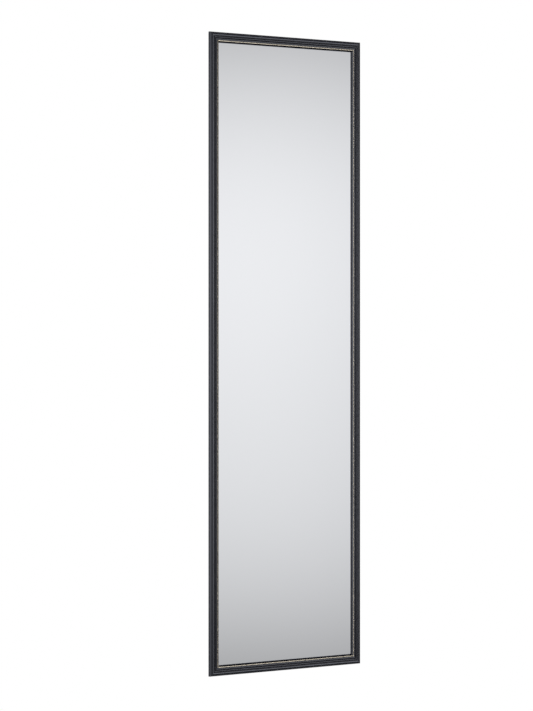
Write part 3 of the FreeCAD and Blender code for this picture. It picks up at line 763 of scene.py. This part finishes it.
@dataclass
class MouldedFrame:
    """Four mitred sticks of reeded moulding with a gilt strip let into each.

    In the section, x is the way in from the outer edge and y the way back from the front of the
    main bead.
    """

    shop: Workshop
    width: float = 340 * MM
    height: float = 1250 * MM
    middle: float = -14 * MM
    front: float = -47.5 * MM
    stick_wide: float = 20.6 * MM
    stick_deep: float = 16 * MM
    side_deep: float = 8.7 * MM
    back_inset: float = 5.4 * MM
    shoulder_back: float = 4.4 * MM
    shoulder_round: float = 12 * MM
    shoulder_end: float = 2.1 * MM
    shoulder_end_level: float = 2.3 * MM
    quirk: float = 2.8 * MM
    quirk_level: float = 2.7 * MM
    bead_start: float = 3.4 * MM
    bead_middle: float = 6.8 * MM
    bead_end: float = 8 * MM
    bead_round: float = 4.2 * MM
    reed: Crest = Crest(middle=10 * MM, half=1.1 * MM, root=1.5 * MM, radius=1.25 * MM)
    wide_reed: Crest = Crest(middle=14 * MM, half=1.5 * MM, root=1.6 * MM, radius=1.75 * MM)
    groove: float = 0.8 * MM
    gilt: Crest = Crest(middle=17 * MM, half=0.65 * MM, root=1.4 * MM, radius=1.1 * MM)
    gilt_groove: float = 0.2 * MM
    gilt_seat: float = 1.9 * MM
    lip_start: float = 1.5 * MM
    lip_end: float = 5.2 * MM
    rebate: float = 6.5 * MM
    rebate_edge: float = 13.6 * MM
    arris: float = 0.22 * MM
    joint: float = 0.03 * MM
    stations: int = 61

    def on_bead(self, inwards: float) -> Pair:
        """The point of the main bead's circle that lies this far inwards, its crest at depth 0."""
        away = inwards - self.bead_middle
        return inwards, self.bead_round - math.sqrt(self.bead_round**2 - away**2)

    def stick_section(self) -> Array:
        """The closed section of a stick: round the front from the outer edge, then the rebate.

        Returns:
            (inwards, back) points, one a row.
        """
        shoulder = (self.shoulder_end, self.shoulder_end_level)
        reed_outer, reed_inner = self.reed.ends
        wide_outer, _ = self.wide_reed.ends
        gilt_outer, gilt_inner = self.gilt.ends
        parts = (
            [(0, self.side_deep)],
            arc((0, self.shoulder_back), shoulder, self.shoulder_round, 1),
            [(self.quirk, self.quirk_level)],
            arc(self.on_bead(self.bead_start), self.on_bead(self.bead_end), self.bead_round, 1),
            [((self.bead_end + reed_outer) / 2, self.reed.root + self.groove)],
            self.reed.points(),
            [((reed_inner + wide_outer) / 2, self.wide_reed.root + self.groove)],
            self.wide_reed.points(),
            [(gilt_outer, self.gilt.root + self.gilt_groove), (gilt_outer, self.gilt_seat)],
            [(gilt_inner, self.gilt_seat), (gilt_inner, self.lip_start)],
            [(self.stick_wide, self.lip_end), (self.stick_wide, self.rebate)],
            [(self.rebate_edge, self.rebate), (self.rebate_edge, self.stick_deep)],
            [(self.back_inset, self.stick_deep)],
        )
        return eased(np.concatenate([np.asarray(part, float) for part in parts]), self.arris)

    def gilt_section(self) -> Array:
        """The closed section of a gilt strip: a shallow crown on a flat seat.

        Returns:
            (inwards, back) points, one a row.
        """
        outer, inner = self.gilt.ends
        seat = np.array(((inner, self.gilt_seat), (outer, self.gilt_seat)))
        return np.concatenate((self.gilt.points(), seat))

    def stick(self, node: str, section: Array, side: Side, slot: Slot) -> None:
        """Carry a section along one side of the frame, between its two mitres.

        A point that lies w inwards runs from -(half - w) to (half - w) along the side, where half
        is half the side's length, so that both ends are cut at 45 degrees. The side is then
        turned about the panel's middle by quarter turns. The attribute along_grain holds the way
        along the stick and the way round its section.

        Args:
            node: the CAD node that the stick stands for.
            section: (inwards, back) points, one a row.
            side: which side of the frame it is.
            slot: its finish.
        """
        half = (self.height if side.upright else self.width) / 2 - self.joint
        reach = (self.width if side.upright else self.height) / 2
        station = np.linspace(-1, 1, self.stations)[:, None]
        inwards, back = section[None, :, 0], section[None, :, 1]
        along = station * (half - inwards)
        out = np.broadcast_to(reach - inwards, along.shape)
        angle = side.value * math.pi / 2
        x = self.middle + along * math.cos(angle) + out * math.sin(angle)
        z = out * math.cos(angle) - along * math.sin(angle)
        y = np.broadcast_to(self.front + back, along.shape)
        grids = np.stack((x, y, z), axis=-1)[None]
        piece = self.shop.make(node, grids, slot, Body.MIRROR, caps=True)
        steps = np.linalg.norm(np.diff(section, axis=0, append=section[:1]), axis=1)
        around = np.broadcast_to(np.cumsum(steps)[None], along.shape)
        place = np.stack((along, around, np.full(along.shape, side.value)), axis=-1)
        grain = piece.data.attributes.new("along_grain", "FLOAT_VECTOR", "POINT")
        grain.data.foreach_set("vector", place.astype(np.float32).ravel())

    def build(self) -> None:
        """Make the four sticks and their gilt strips."""
        for side in Side:
            kind = "stile" if side.upright else "rail"
            word = side.name.lower()
            self.stick(f"frame_{kind}_{word}", self.stick_section(), side, Slot.LACQUER)
            self.stick(f"gilt_strip_{word}", self.gilt_section(), side, Slot.GILT)


@dataclass
class GlassAndBoard:
    """The silvered glass, the board behind it and the steel that holds them in the frame."""

    shop: Workshop
    seamed_edge: float = 0.4 * MM
    board_edge: float = 0.5 * MM
    steel_edge: float = 0.12 * MM

    def build(self) -> None:
        """Finish the glass, the board, the tabs and the corner wedges."""
        self.shop.ease("mirror_glass", self.seamed_edge, Slot.GLASS, Body.MIRROR)
        self.shop.ease("backing_board", self.board_edge, Slot.BOARD, Body.MIRROR)
        self.shop.ease("glazing_tabs", self.steel_edge, Slot.ZINC, Body.MIRROR)
        self.shop.ease("corner_wedges", self.steel_edge, Slot.ZINC, Body.MIRROR)


# ---- Slide ---------------------------------------------------------------------------------


@dataclass(frozen=True)
class BallRows:
    """Two rows of bearing balls, above and below the slide's centre line.

    Args:
        node: the CAD node that holds them.
        body: the cage's body.
        radius: a ball's radius.
        depth: how far in front of the closet side the row lies.
        up: how far above the centre line it lies.
        count: how many balls a row has.
        pitch: the step from ball to ball.
        shift: how far the middle of the row lies from the part's origin.
        chords: how many chords a ball's half circle has.
        steps: how many of them go round a ball.
    """

    node: str
    body: Body
    radius: float
    depth: float
    up: float
    count: int = 6
    pitch: float = 23 * MM
    shift: float = -4 * MM
    chords: int = 12
    steps: int = 20

    def grids(self) -> Array:
        """Turn a half circle into each ball, and set the balls at even steps along both rows.

        Returns:
            Points as (balls, rows, columns, 3).
        """
        angle = np.linspace(-math.pi / 2, math.pi / 2, self.chords + 1)
        section = self.radius * np.column_stack((np.cos(angle), np.sin(angle)))
        ball = turned(section, self.steps)
        along = self.shift + (np.arange(self.count) - (self.count - 1) / 2) * self.pitch
        x, z = np.meshgrid(along, (-self.up, self.up))
        centres = np.column_stack((x.ravel(), np.full(x.size, -self.depth), z.ravel()))
        return (ball[None] + centres[:, None, None, :]).swapaxes(1, 2)


@dataclass
class BallSlide:
    """Three rolled rails that run in each other on caged balls."""

    shop: Workshop
    rail_edge: float = 0.18 * MM
    cage_edge: float = 0.1 * MM
    buffer_edge: float = 0.6 * MM
    outer_balls: BallRows = BallRows(
        "outer_balls", Body.OUTER_CAGE, radius=1.7 * MM, depth=5.4 * MM, up=19.9 * MM,
    )
    inner_balls: BallRows = BallRows(
        "inner_balls", Body.INNER_CAGE, radius=1.45 * MM, depth=9.4 * MM, up=15.45 * MM,
    )

    def build(self) -> None:
        """Finish the rails, the cages, the balls and the rear buffer."""
        self.shop.ease("fixed_rail", self.rail_edge, Slot.ZINC, Body.MOUNT)
        self.shop.ease("rear_buffer", self.buffer_edge, Slot.NYLON, Body.MOUNT)
        self.shop.ease("outer_ball_cage", self.cage_edge, Slot.ACETAL, Body.OUTER_CAGE)
        self.shop.ease("middle_rail", self.rail_edge, Slot.ZINC, Body.MIDDLE)
        self.shop.ease("inner_ball_cage", self.cage_edge, Slot.ACETAL, Body.INNER_CAGE)
        self.shop.ease("inner_rail", self.rail_edge, Slot.ZINC, Body.CARRIAGE)
        for rows in (self.outer_balls, self.inner_balls):
            self.shop.make(rows.node, rows.grids(), Slot.BALL_STEEL, rows.body)


# ---- Swivel and catch ----------------------------------------------------------------------


@dataclass(frozen=True)
class Fastener:
    """A headed screw or rivet, turned about its axis, with its head's seat at height 0.

    Args:
        head: the head's radius.
        tall: the head's height.
        shank: the shank's radius.
        length: the shank's length below the seat.
        recess: how deep a crossed driver's recess is, or 0 for none.
        dome: the share of its height that the head loses by its rim.
        rim_low: the height of the rim's lower edge, as a share of the head's.
        rim_in: the radius of the head's seat, as a share of the head's.
        bar_long: how far each bar of the cross reaches, as a share of the head's radius.
        bar_half: half a bar's width, as a share of the head's radius.
        end_fade: the share of a bar's reach over which it fades out.
        side_fade: the share of half its width over which it fades out.
        rings: how many rings of points the head has.
        crowding: below 1, the rings crowd towards the rim.
        steps: how many points a ring has.
    """

    head: float
    tall: float
    shank: float
    length: float
    recess: float = 0.0
    dome: float = 0.45
    rim_low: float = 0.1
    rim_in: float = 0.97
    bar_long: float = 0.62
    bar_half: float = 0.15
    end_fade: float = 0.2
    side_fade: float = 0.8
    rings: int = 18
    crowding: float = 0.8
    steps: int = 64

    def bar(self, along: Array, across: Array) -> Array:
        """One bar of the cross that a driver fits.

        Args:
            along: how far along the bar each point lies from its middle.
            across: how far to its side.

        Returns:
            1 well inside the bar, fading to 0 at its ends and its sides.
        """
        reach, half = self.head * self.bar_long, self.head * self.bar_half
        ends = np.clip((reach - np.abs(along)) / (self.end_fade * reach), 0, 1)
        return ends * np.clip((half - np.abs(across)) / (self.side_fade * half), 0, 1)

    def grid(self) -> Array:
        """The fastener's surface: rows go out over the head, round its rim and down the shank.

        The head's height falls from its middle to its rim with the square of the radius. A
        crossed recess takes away its depth where either bar of the cross covers the point.

        Returns:
            Points as (rows, steps, 3).
        """
        out = np.linspace(0, 1, self.rings)[:, None] ** self.crowding
        angle = np.linspace(0, 2 * math.pi, self.steps, endpoint=False)
        x, y = out * self.head * np.cos(angle), out * self.head * np.sin(angle)
        cross = np.maximum(self.bar(x, y), self.bar(y, x))
        height = self.tall * (1 - self.dome * out**2) - self.recess * cross
        under = np.array([
            (self.head, self.rim_low * self.tall),
            (self.head * self.rim_in, 0),
            (self.shank, 0),
            (self.shank, -self.length),
            (0, -self.length),
        ])
        top = np.stack((x, y, height), axis=-1)
        return np.concatenate((top, turned(under, self.steps).swapaxes(0, 1)))

    def grids(self, spots: Array, facing: Facing) -> Array:
        """Set the fastener at each spot, its head pointing the given way."""
        return np.stack([placed(self.grid(), spot, facing) for spot in spots])


@dataclass
class Swivel:
    """The pin hinge near the mirror's leading edge: bracket, leaf, bushes, pin and its stack.

    Heights are measured from the pivot's level, except pin_below and groove_below, which are
    measured down from the lower ear's outer face.
    """

    shop: Workshop
    pivot: Triple = (-160 * MM, -26 * MM, 0.0)
    slide_front: float = -12.7 * MM
    leaf_ahead: float = 4.5 * MM
    ear_inside: float = 61.5 * MM
    ear_thick: float = 2.5 * MM
    play: float = 0.05 * MM
    pin_round: float = 3 * MM
    pin_below: float = 5.2 * MM
    pin_point: float = 0.6 * MM
    head_round: float = 5 * MM
    head_tall: float = 2.5 * MM
    dome_tall: float = 1.1 * MM
    dome_round: float = 12 * MM
    dome_chords: int = 8
    groove_below: float = 2.6 * MM
    groove_tall: float = 0.8 * MM
    groove_round: float = 2.3 * MM
    bush_round: float = 4.2 * MM
    flange_round: float = 5.9 * MM
    flange_thick: float = 0.8 * MM
    washer_round: float = 6 * MM
    washer_thick: float = 0.8 * MM
    spring_rise: float = 0.7 * MM
    spring_thick: float = 0.5 * MM
    rivet: Fastener = Fastener(head=3.8 * MM, tall=1.4 * MM, shank=2 * MM, length=3.7 * MM)
    rivets_along: tuple[float, ...] = (18 * MM, 18 * MM, 82 * MM)
    rivets_up: tuple[float, ...] = (-7 * MM, 7 * MM, 0.0)
    screw: Fastener = Fastener(
        head=3.5 * MM, tall=2 * MM, shank=1.7 * MM, length=6.4 * MM, recess=1.1 * MM,
    )
    screws_along: tuple[float, ...] = (20 * MM, 86 * MM, 20 * MM, 86 * MM)
    screws_up: tuple[float, ...] = (-78 * MM, -78 * MM, 78 * MM, 78 * MM)
    press_edge: float = 0.35 * MM
    fine_edge: float = 0.1 * MM

    @property
    def ear_outside(self) -> float:
        """How far from the pivot's level an ear's outer face lies."""
        return self.ear_inside + self.ear_thick

    def ring(self, node: str, corners: list[Pair], facing: Facing, slot: Slot, body: Body) -> None:
        """Turn a closed section about the pivot, its corners eased.

        Args:
            node: the CAD node that it stands for.
            corners: the section's (radius, height) corners.
            facing: where its axis points.
            slot: its finish.
            body: what it moves with.
        """
        section = eased(np.array(corners, float), self.fine_edge)
        grids = placed(turned(section), self.pivot, facing)[None]
        self.shop.make(node, grids, slot, body, round_rows=True)

    def bushes(self) -> None:
        """Make a flanged bush for each ear, the flange inside."""
        bore, shell, flange = self.pin_round + self.play, self.bush_round, self.flange_round
        low, seat, high = self.ear_inside - self.flange_thick, self.ear_inside, self.ear_outside
        corners = [(bore, low), (flange, low), (flange, seat), (shell, seat), (shell, high), (bore, high)]
        for node, facing in (("upper_bush", Facing.UP), ("lower_bush", Facing.DOWN)):
            self.ring(node, corners, facing, Slot.ACETAL, Body.CARRIAGE)

    def stack(self) -> None:
        """Make the washer under the pin's head, and the coned spring above its clip."""
        bore, rim = self.pin_round, self.washer_round
        low = self.ear_outside + self.play
        high = low + self.washer_thick
        flat = [(bore, low), (rim, low), (rim, high), (bore, high)]
        self.ring("pin_washer", flat, Facing.UP, Slot.ZINC, Body.MIRROR)
        raised, high = low + self.spring_rise, low + self.spring_thick
        cone = [(bore, raised), (rim, low), (rim, high), (bore, raised + self.spring_thick)]
        self.ring("disc_spring", cone, Facing.DOWN, Slot.ZINC, Body.MIRROR)

    def pin(self) -> None:
        """Make the headed pin, domed above, with its clip's groove below."""
        round_, clip, head = self.pin_round, self.groove_round, self.head_round
        low = -(self.ear_outside + self.pin_below)
        high = self.ear_outside + self.washer_thick + 2 * self.play
        crest = high + self.head_tall
        groove_high = -(self.ear_outside + self.groove_below)
        groove_low = groove_high - self.groove_tall
        shank = [
            (0, low), (round_ - self.pin_point, low), (round_, low + self.pin_point),
            (round_, groove_low), (clip, groove_low), (clip, groove_high), (round_, groove_high),
            (round_, high), (head, high),
        ]
        edge, top = (head, crest - self.dome_tall), (0, crest)
        dome = arc(edge, top, self.dome_round, 1, self.dome_chords)
        grid = turned(np.concatenate((np.array(shank, float), dome))).swapaxes(0, 1)
        grids = placed(grid, self.pivot, Facing.UP)[None]
        self.shop.make("pivot_pin", grids, Slot.ZINC, Body.MIRROR)

    def spots(self, along: tuple[float, ...], level: float, up: tuple[float, ...]) -> Array:
        """Places at a y level, given by how far along and up from the pivot each lies."""
        x, _, z = self.pivot
        return np.column_stack((x + np.array(along), np.full(len(along), level), z + np.array(up)))

    def fasteners(self) -> None:
        """Make the rivets through the bracket's arm, and the wood screws through the leaf."""
        arm = self.spots(self.rivets_along, self.slide_front - self.ear_thick, self.rivets_up)
        rivets = self.rivet.grids(arm, Facing.FRONT)
        self.shop.make("bracket_rivets", rivets, Slot.ZINC, Body.CARRIAGE)
        leaf = self.spots(self.screws_along, self.pivot[1] - self.leaf_ahead, self.screws_up)
        screws = self.screw.grids(leaf, Facing.BACK)
        self.shop.make("leaf_screws", screws, Slot.ZINC, Body.MIRROR)

    def build(self) -> None:
        """Make and finish every piece of the swivel."""
        self.shop.ease("swivel_bracket", self.press_edge, Slot.DARK_STEEL, Body.CARRIAGE)
        self.shop.ease("hinge_leaf", self.press_edge, Slot.DARK_STEEL, Body.MIRROR)
        self.shop.ease("retaining_clip", self.fine_edge, Slot.ZINC, Body.MIRROR)
        self.bushes()
        self.stack()
        self.pin()
        self.fasteners()


@dataclass
class MagneticCatch:
    """The magnet on the slide and the plate on the board that park the mirror flat."""

    shop: Workshop
    moulded_edge: float = 0.5 * MM
    plate_edge: float = 0.3 * MM
    magnet_edge: float = 0.3 * MM

    def build(self) -> None:
        """Finish the housing, its magnet and the strike plate."""
        self.shop.ease("catch_housing", self.moulded_edge, Slot.NYLON, Body.CARRIAGE)
        self.shop.ease("catch_magnet", self.magnet_edge, Slot.MAGNET, Body.CARRIAGE)
        self.shop.ease("strike_plate", self.plate_edge, Slot.ZINC, Body.MIRROR)


# ---- Studio --------------------------------------------------------------------------------


@dataclass(frozen=True)
class Lamp:
    """An area lamp that looks at the middle of the part, and that no reflection shows.

    Args:
        name: the lamp's name.
        place: where it hangs.
        size: its width and height.
        watts: its power.
    """

    name: str
    place: Triple
    size: Pair
    watts: float

    def hang(self) -> None:
        """Hang the lamp, turned by its bearing and tipped by its rise as seen from the part."""
        light = bpy.data.lights.new(self.name, "AREA")
        light.shape = "RECTANGLE"
        light.size, light.size_y = self.size
        light.energy = self.watts
        lamp = bpy.data.objects.new(self.name, light)
        bpy.context.scene.collection.objects.link(lamp)
        lamp.location = self.place
        x, y, z = np.array(self.place) / np.linalg.norm(self.place)
        lamp.rotation_euler = (math.pi / 2 - math.asin(z), 0, math.atan2(x, -y))
        lamp.visible_glossy = False


@dataclass
class Studio:
    """A white room's worth of light: world, floor, a graded cove for the reflections, lamps.

    The cove's rings are named glow, bands and boxes: the glow is how bright its walls are at each
    height, the bands lie above and below eye level in front, and the boxes likewise behind. Its
    plain and cool panels stand round it, and each set has its own tint. How many degrees either
    way the bands and the boxes run is in bands_wide and boxes_wide, and ends_power is how sharply
    they end there.
    """

    room_light: float = 0.55
    floor_level: float = -0.95
    floor_radius: float = 1.3
    floor_white: float = 0.9
    floor_rough: float = 0.9
    fade_start: float = 0.35
    fade_end: float = 0.98
    floor_rings: int = 24
    cove_rings: int = 48
    spokes: int = 96
    cove_radius: float = 7.0
    glow: tuple[Panel, ...] = (
        Panel(0.877, 0.0, 1.97, 4.0), Panel(0.153, 0.48, 1.11), Panel(0.28, -3.2, 1.2, 6.0),
    )
    wall_level: float = 0.18
    plain: tuple[Panel, ...] = (
        Panel(0.71, 27, 16), Panel(0.55, -2, 11), Panel(0.8, 180, 20), Panel(0.8, -180, 20),
    )
    cool: tuple[Panel, ...] = (
        Panel(7.0, 13, 6, 6.0), Panel(2.7, -62, 13), Panel(1.1, -127, 13), Panel(-0.1, 130, 40),
    )
    bands: Panel = Panel(4.2, 4.34, 0.98, 4.0)
    bands_wide: float = 80.0
    boxes: Panel = Panel(1.6, 3.85, 1.75, 6.0)
    boxes_wide: float = 75.0
    ends_power: float = 6.0
    plain_tint: Colour = (1.0, 1.0, 1.0)
    cool_tint: Colour = (0.963, 1.0, 1.13)
    lamps: tuple[Lamp, ...] = (
        Lamp("high_left", (-1.8, -2.6, 2.3), (1.4, 1.0), 60),
        Lamp("low_right", (2.6, -1.4, 0.4), (0.7, 2.0), 40),
        Lamp("back_fill", (0.6, 3.0, 1.8), (1.6, 1.2), 60),
    )

    def world(self) -> None:
        """White to look at, to reflect and to see through; dimmer where it lights the object."""
        world = bpy.data.worlds.new("white_room")
        bpy.context.scene.world = world
        world.use_nodes = True
        graph = Graph(world.node_tree)
        dim = graph.fill(graph.nodes["Background"], {"Color": WHITE, "Strength": self.room_light})
        white = graph.add("ShaderNodeBackground", {"Color": WHITE})
        path = graph.add("ShaderNodeLightPath").outputs
        seen = graph.maths("MAXIMUM", path["Is Camera Ray"], path["Is Glossy Ray"])
        seen = graph.maths("MAXIMUM", seen, path["Is Transmission Ray"])
        mix = graph.add("ShaderNodeMixShader", {0: seen, 1: dim.outputs[0], 2: white.outputs[0]})
        graph.links.new(mix.outputs[0], graph.nodes["World Output"].inputs["Surface"])

    def floor(self) -> None:
        """A pale disc that fades into the white round it, and keeps the object's shadow.

        Its rings and spokes are even: ring i has i / floor_rings of its radius.
        """
        radius = np.linspace(0, self.floor_radius, self.floor_rings + 1)[:, None]
        angle = np.linspace(0, 2 * math.pi, self.spokes, endpoint=False)[None]
        x, y = radius * np.cos(angle), radius * np.sin(angle)
        disc = surface("floor", np.stack((x, y, np.full_like(x, self.floor_level)), -1)[None])
        recipe = Recipe("pale_floor")
        paint = (*(self.floor_white,) * 3, 1)
        recipe.fill(recipe.shader, {"Base Color": paint, "Roughness": self.floor_rough})
        flat = recipe.place((1, 1, 0))
        away = recipe.add("ShaderNodeVectorMath", {0: flat})
        away.operation = "LENGTH"
        fade = recipe.add("ShaderNodeMapRange", {
            "Value": away.outputs["Value"],
            "From Min": self.floor_radius * self.fade_start,
            "From Max": self.floor_radius * self.fade_end,
        })
        fade.interpolation_type = "SMOOTHSTEP"
        white = recipe.add("ShaderNodeEmission")
        shades = {0: fade.outputs["Result"], 1: recipe.shader.outputs[0], 2: white.outputs[0]}
        recipe.show(recipe.add("ShaderNodeMixShader", shades).outputs[0])
        disc.data.materials.append(recipe.material)
        disc.visible_glossy = False

    def cove_light(self) -> bpy.types.Material:
        """The cove's glow, worked out from the bearing and the height of each of its points.

        Returns:
            A material that adds up the plain white light and the cool light.
        """
        recipe = Recipe("graded_cove")
        recipe.nodes.remove(recipe.shader)
        place = recipe.add("ShaderNodeTexCoord").outputs["Object"]
        x, y, z = recipe.add("ShaderNodeSeparateXYZ", {0: place}).outputs
        bearing = recipe.maths("DEGREES", recipe.maths("ARCTAN2", x, recipe.maths("MULTIPLY", y, -1.0)))
        either_way = recipe.maths("ABSOLUTE", bearing)
        from_level = recipe.maths("ABSOLUTE", z)
        before = recipe.bell(either_way, 0.0, self.bands_wide, self.ends_power)
        behind = recipe.bell(either_way, 180.0, self.boxes_wide, self.ends_power)
        glow = recipe.lit(z, self.glow)
        both = recipe.add("ShaderNodeAddShader")
        for socket, tint, round_room, ring, where in (
            (0, self.plain_tint, recipe.lit(bearing, self.plain), self.boxes, behind),
            (1, self.cool_tint, recipe.lit(bearing, self.cool, self.wall_level), self.bands, before),
        ):
            walls = recipe.maths("MULTIPLY", round_room, glow)
            level = recipe.maths("MULTIPLY_ADD", recipe.lit(from_level, (ring,)), where, walls)
            light = recipe.add("ShaderNodeEmission", {"Color": (*tint, 1), "Strength": level})
            recipe.links.new(light.outputs[0], both.inputs[socket])
        recipe.show(both.outputs[0])
        return recipe.material

    def cove(self) -> None:
        """A large ball round everything that only reflections see.

        Its points lie on even rings and spokes: at a rise r and a turn t each is the radius times
        (cos r cos t, cos r sin t, sin r).
        """
        rise = np.linspace(-math.pi / 2, math.pi / 2, self.cove_rings + 1)[:, None]
        turn = np.linspace(0, 2 * math.pi, self.spokes, endpoint=False)[None]
        x, y = np.cos(rise) * np.cos(turn), np.cos(rise) * np.sin(turn)
        ball = np.stack((x, y, np.sin(rise) * np.ones_like(turn)), -1)
        dome = surface("cove", (ball * self.cove_radius)[None])
        dome.data.materials.append(self.cove_light())
        dome.visible_camera = False
        dome.visible_diffuse = False
        dome.visible_transmission = False
        dome.visible_shadow = False

    def build(self) -> None:
        """Set up the room and its lamps."""
        self.world()
        self.floor()
        self.cove()
        for lamp in self.lamps:
            lamp.hang()


@dataclass
class Viewpoint:
    """A level camera in front of the panel and to its left, with the lens of a portrait."""

    bearing: float = 28.45
    distance: float = 4.057
    aside: float = 0.1084
    height: float = 0.051
    lens: float = 106.17
    rise: float = -0.0391
    sees_to: float = 50.0

    def build(self, panel: MouldedFrame) -> None:
        """Set the camera up from the front left edge of the panel.

        Args:
            panel: the mirror's frame.
        """
        angle = math.radians(self.bearing)
        ahead = np.array((math.sin(angle), math.cos(angle)))
        right = np.array((math.cos(angle), -math.sin(angle)))
        corner = np.array((panel.middle - panel.width / 2, panel.front))
        x, y = corner - self.distance * ahead + self.aside * right
        data = bpy.data.cameras.new("viewpoint")
        data.lens = self.lens
        data.shift_y = self.rise
        data.clip_end = self.sees_to
        camera = bpy.data.objects.new("viewpoint", data)
        bpy.context.scene.collection.objects.link(camera)
        camera.location = (x, y, self.height)
        camera.rotation_euler = (math.pi / 2, 0, -angle)
        bpy.context.scene.camera = camera


def main() -> None:
    """Dress the part, assembly by assembly, and set up the room and the camera."""
    logging.basicConfig(level=logging.INFO, format="%(name)s: %(message)s")
    shop = Workshop()
    panel = MouldedFrame(shop)
    for assembly in (panel, GlassAndBoard(shop), BallSlide(shop), Swivel(shop), MagneticCatch(shop)):
        assembly.build()
        log.info("%s done, %d pieces so far", type(assembly).__name__, shop.count)
    Studio().build()
    Viewpoint().build(panel)
    bpy.context.scene.view_settings.view_transform = "Standard"


if __name__ == "__main__":
    main()
